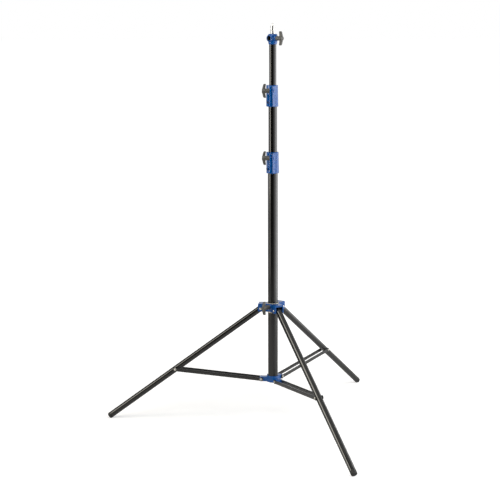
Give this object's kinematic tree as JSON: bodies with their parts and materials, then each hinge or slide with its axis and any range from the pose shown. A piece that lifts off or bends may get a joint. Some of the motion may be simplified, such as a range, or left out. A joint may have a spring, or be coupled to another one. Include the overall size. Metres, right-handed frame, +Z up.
{
  "type": "light stand",
  "caption": "Folding light stand: telescoping round tubes with split lock collars and T-knobs, a strutted tripod base, and a cast head that holds a 16 mm stud with a 1/4 inch thread.",
  "frame": {"origin": "on the floor, at the middle of the box that the three feet and knobs fill in plan", "axes": "+Z up along the column; the first leg points to -X, the other two at 60 degrees either side of +X, and the picture looks at it from -Y"},
  "size_m": [0.9145, 1.0526, 1.419],
  "materials": {
    "tube": "dark gunmetal plating, polished, on steel tube",
    "casting": "deep blue gloss coating on die-cast metal",
    "strut": "black coated flat steel bar",
    "knob": "moulded warm dark grey nylon, fine grain",
    "nylon": "natural pale nylon",
    "plug": "black moulded plastic",
    "bright_steel": "bright zinc-plated steel",
    "dark_steel": "blackened steel screw",
    "chrome": "polished chrome-plated stud"
  },
  "bodies": {
    "base": {"base_tube": "tube", "base_tube_plug": "plug", "lower_hub": "casting", "hub_screw": "dark_steel", "hub_pin_1": "bright_steel", "hub_pin_2": "bright_steel", "hub_pin_3": "bright_steel", "lower_lock_collar": "casting", "lower_lock_bushing": "nylon", "lower_lock_screw": "dark_steel"},
    "lower_lock_t_knob": {"lower_lock_knob": "knob", "lower_lock_stud": "bright_steel"},
    "middle": {"middle_tube": "tube", "middle_tube_guide": "nylon", "upper_lock_collar": "casting", "upper_lock_bushing": "nylon", "upper_lock_screw": "dark_steel"},
    "upper_lock_t_knob": {"upper_lock_knob": "knob", "upper_lock_stud": "bright_steel"},
    "top": {"top_tube": "tube", "top_tube_guide": "nylon", "head_casting": "casting", "head_rivet": "dark_steel"},
    "head_t_knob": {"head_knob": "knob", "head_stud": "bright_steel"},
    "spigot_stud": {"spigot": "chrome"},
    "leg_carrier": {"leg_collar": "casting", "leg_collar_bushing": "nylon", "leg_pin_1": "bright_steel", "leg_pin_2": "bright_steel", "leg_pin_3": "bright_steel"},
    "leg_collar_t_knob": {"leg_collar_knob": "knob", "leg_collar_stud": "bright_steel"},
    "leg_1": {"leg_tube_1": "tube", "leg_top_plug_1": "plug", "foot_cap_1": "plug"},
    "leg_2": {"leg_tube_2": "tube", "leg_top_plug_2": "plug", "foot_cap_2": "plug"},
    "leg_3": {"leg_tube_3": "tube", "leg_top_plug_3": "plug", "foot_cap_3": "plug"},
    "strut_1": {"strut_bar_1a": "strut", "strut_bar_1b": "strut", "strut_rivet_1a": "bright_steel", "strut_rivet_1b": "bright_steel"},
    "strut_2": {"strut_bar_2a": "strut", "strut_bar_2b": "strut", "strut_rivet_2a": "bright_steel", "strut_rivet_2b": "bright_steel"},
    "strut_3": {"strut_bar_3a": "strut", "strut_bar_3b": "strut", "strut_rivet_3a": "bright_steel", "strut_rivet_3b": "bright_steel"}
  },
  "joints": [
    {"name": "leg_fold", "type": "slide", "parent": "base", "child": "leg_carrier", "axis": [0, 0, 1], "range_m": [0, 0.4382]},
    {"name": "leg_1_hinge", "type": "hinge", "parent": "leg_carrier", "child": "leg_1", "pos_m": [0.10752, 0, 0.42279], "axis": [0, -1, 0], "range_deg": [0, 51.28]},
    {"name": "leg_2_hinge", "type": "hinge", "parent": "leg_carrier", "child": "leg_2", "pos_m": [0.17127, -0.03681, 0.42279], "axis": [0.866, 0.5, 0], "range_deg": [0, 51.28]},
    {"name": "leg_3_hinge", "type": "hinge", "parent": "leg_carrier", "child": "leg_3", "pos_m": [0.17127, 0.03681, 0.42279], "axis": [-0.866, 0.5, 0], "range_deg": [0, 51.28]},
    {"name": "strut_1_hinge", "type": "hinge", "parent": "base", "child": "strut_1", "pos_m": [0.10822, 0, 0.16279], "axis": [0, 1, 0], "range_deg": [0, 82.13]},
    {"name": "strut_2_hinge", "type": "hinge", "parent": "base", "child": "strut_2", "pos_m": [0.17092, -0.0362, 0.16279], "axis": [-0.866, -0.5, 0], "range_deg": [0, 82.13]},
    {"name": "strut_3_hinge", "type": "hinge", "parent": "base", "child": "strut_3", "pos_m": [0.17092, 0.0362, 0.16279], "axis": [0.866, -0.5, 0], "range_deg": [0, 82.13]},
    {"name": "middle_slide", "type": "slide", "parent": "base", "child": "middle", "axis": [0, 0, 1], "range_m": [-0.155, 0.5]},
    {"name": "top_slide", "type": "slide", "parent": "middle", "child": "top", "axis": [0, 0, 1], "range_m": [-0.127, 0.55]},
    {"name": "spigot_slide", "type": "slide", "parent": "top", "child": "spigot_stud", "axis": [0, 0, 1], "range_m": [0, 0.045]},
    {"name": "upper_lock_turn", "type": "hinge", "parent": "middle", "child": "upper_lock_t_knob", "pos_m": [0.14152, -0.0293, 1.1918], "axis": [-1, 0, 0], "range_deg": [0, 450]},
    {"name": "lower_lock_turn", "type": "hinge", "parent": "base", "child": "lower_lock_t_knob", "pos_m": [0.14152, -0.0318, 0.9613], "axis": [-1, 0, 0], "range_deg": [0, 450]},
    {"name": "head_turn", "type": "hinge", "parent": "top", "child": "head_t_knob", "pos_m": [0.16518, -0.01273, 1.3685], "axis": [0.766, -0.6428, 0], "range_deg": [0, 450]},
    {"name": "leg_collar_turn", "type": "hinge", "parent": "leg_carrier", "child": "leg_collar_t_knob", "pos_m": [0.13612, -0.02408, 0.43199], "axis": [-0.5, -0.866, 0], "range_deg": [0, 450]}
  ],
  "couplings": [
    {"joint": "leg_1_hinge", "follows": "leg_fold", "rad_per_m": 2.0418},
    {"joint": "leg_2_hinge", "follows": "leg_fold", "rad_per_m": 2.0418},
    {"joint": "leg_3_hinge", "follows": "leg_fold", "rad_per_m": 2.0418},
    {"joint": "strut_1_hinge", "follows": "leg_fold", "rad_per_m": 3.2703},
    {"joint": "strut_2_hinge", "follows": "leg_fold", "rad_per_m": 3.2703},
    {"joint": "strut_3_hinge", "follows": "leg_fold", "rad_per_m": 3.2703}
  ]
}
